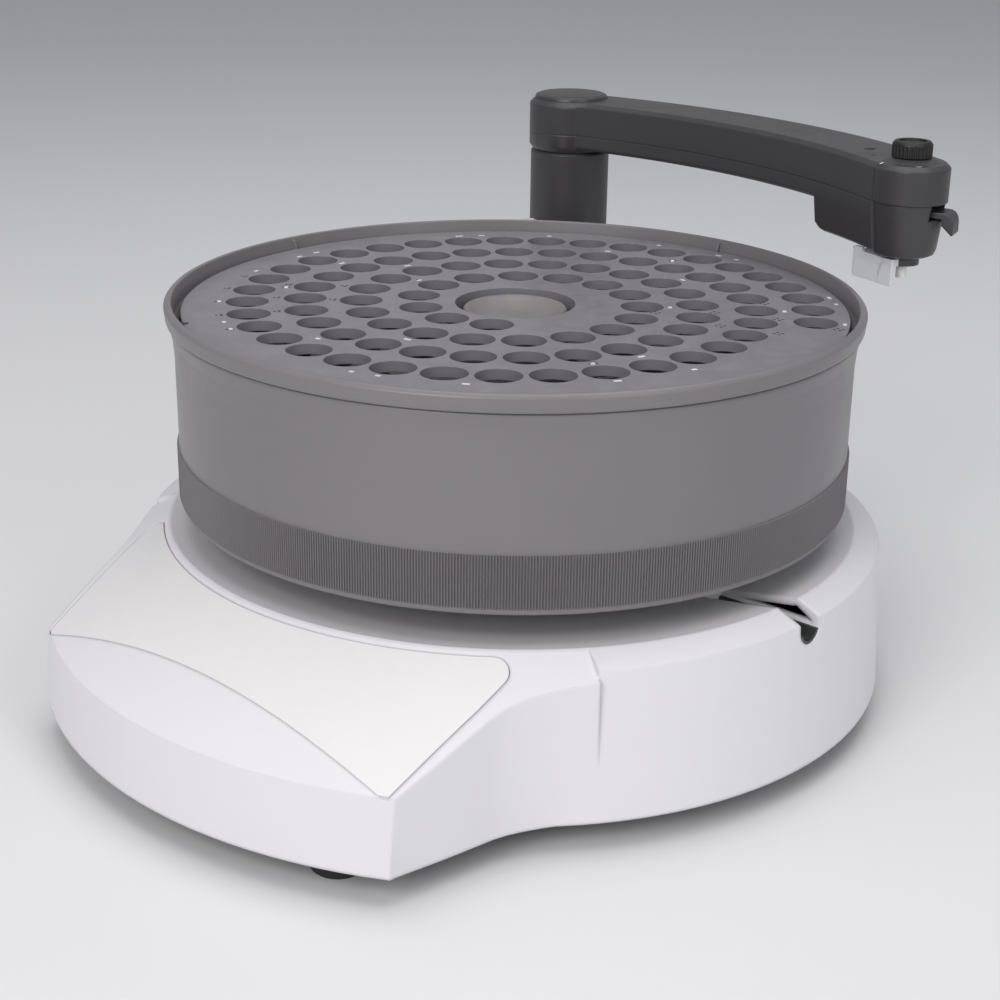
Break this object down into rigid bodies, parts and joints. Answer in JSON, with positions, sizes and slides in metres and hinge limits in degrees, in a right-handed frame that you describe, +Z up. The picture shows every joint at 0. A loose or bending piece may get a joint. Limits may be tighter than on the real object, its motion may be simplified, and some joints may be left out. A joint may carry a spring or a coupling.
{
  "type": "fraction collector",
  "caption": "Bench fraction collector: base with sloping console, spinning bowl with a spiral rack of tube holes, and a swinging arm with a drop sensor and tubing holder.",
  "frame": {"origin": "the bowl's axis at table height, under the feet", "axes": "+Z up along the bowl's axis, -Y towards the console and the operator, +X to the side of the drain slot"},
  "size_m": [0.323, 0.4045, 0.2351],
  "materials": {
    "white_shell": "satin off-white moulding",
    "black_plate": "matte black",
    "foot_rubber": "matte black",
    "steel": "bright",
    "cast_alloy": "machined",
    "black_plastic": "gloss black",
    "arm_plastic": "satin warm black",
    "bush_bronze": "plain",
    "motor_case": "satin dark grey",
    "board": "green solder mask",
    "bowl_plastic": "satin mid-grey",
    "rack_plastic": "satin blue-grey",
    "clear_plastic": "clear white"
  },
  "bodies": {
    "base": {"base_housing": "white_shell", "front_panel": "white_shell", "base_plate": "black_plate", "feet": "foot_rubber", "base_screws": "steel", "bearing_housing": "cast_alloy", "spindle_bearings": "steel", "drain_liner": "black_plastic", "column": "arm_plastic", "column_bush_lower": "bush_bronze", "column_bush_upper": "bush_bronze", "arm_motor": "motor_case", "arm_motor_bracket": "steel", "circuit_board": "board", "power_inlet": "black_plastic", "power_switch": "black_plastic", "signal_sockets": "black_plastic", "lever_pin": "steel"},
    "turntable": {"turntable": "cast_alloy", "drive_pins": "steel", "turntable_screw": "steel"},
    "bowl": {"bowl": "bowl_plastic", "hub_cap": "rack_plastic"},
    "rack": {"tube_guide": "rack_plastic", "tube_holder": "rack_plastic", "tube_support": "rack_plastic", "rack_posts": "steel", "rack_screws": "steel"},
    "arm": {"arm_shaft": "steel", "arm_gear": "bush_bronze", "arm_lower_shell": "arm_plastic", "arm_upper_shell": "arm_plastic", "pivot_cap": "arm_plastic", "arm_screws": "steel", "drop_sensor": "board", "tubing_outlet": "clear_plastic"},
    "knob": {"holder_knob": "black_plastic"},
    "sensor": {"sensor_lever": "arm_plastic", "sensor_plate": "clear_plastic"},
    "pinion": {"arm_pinion": "bush_bronze"},
    "lever": {"drive_lever": "steel", "lever_spring": "steel", "drive_motor": "motor_case"},
    "sleeve": {"sleeve_shaft": "steel", "drive_sleeve": "cast_alloy", "sleeve_tyre": "foot_rubber"}
  },
  "joints": [
    {"name": "bowl_spin", "type": "hinge", "parent": "base", "child": "turntable", "pos_m": [0, 0, 0.08], "axis": [0, 0, 1], "continuous": true},
    {"name": "bowl_lift", "type": "slide", "parent": "turntable", "child": "bowl", "axis": [0, 0, 1], "range_m": [0, 0.012]},
    {"name": "rack_lift", "type": "slide", "parent": "bowl", "child": "rack", "axis": [0, 0, 1], "range_m": [0, 0.02]},
    {"name": "arm_swing", "type": "hinge", "parent": "base", "child": "arm", "pos_m": [-0.09724, 0.15147, 0.2], "axis": [0, 0, 1], "range_deg": [-47, 0]},
    {"name": "arm_drive", "type": "hinge", "parent": "base", "child": "pinion", "pos_m": [-0.07763, 0.12093, 0.043], "axis": [0, 0, 1], "range_deg": [0, 236]},
    {"name": "holder_turn", "type": "hinge", "parent": "arm", "child": "knob", "pos_m": [0.1151, 0.1147, 0.23], "axis": [0, 0, -1], "range_deg": [0, 90]},
    {"name": "sensor_swing", "type": "hinge", "parent": "arm", "child": "sensor", "pos_m": [0.1151, 0.1147, 0.19], "axis": [0, 0, -1], "range_deg": [0, 15]},
    {"name": "lever_swing", "type": "hinge", "parent": "base", "child": "lever", "pos_m": [0.025, 0.141, 0.061], "axis": [0, 0, -1], "range_deg": [0, 8], "stiffness_Nm_per_rad": 0.6},
    {"name": "sleeve_spin", "type": "hinge", "parent": "lever", "child": "sleeve", "pos_m": [-0.01883, 0.15335, 0.1], "axis": [0, 0, 1], "continuous": true}
  ],
  "couplings": [
    {"joint": "arm_drive", "follows": "arm_swing", "ratio": -5},
    {"joint": "sleeve_spin", "follows": "bowl_spin", "ratio": -11.85}
  ]
}
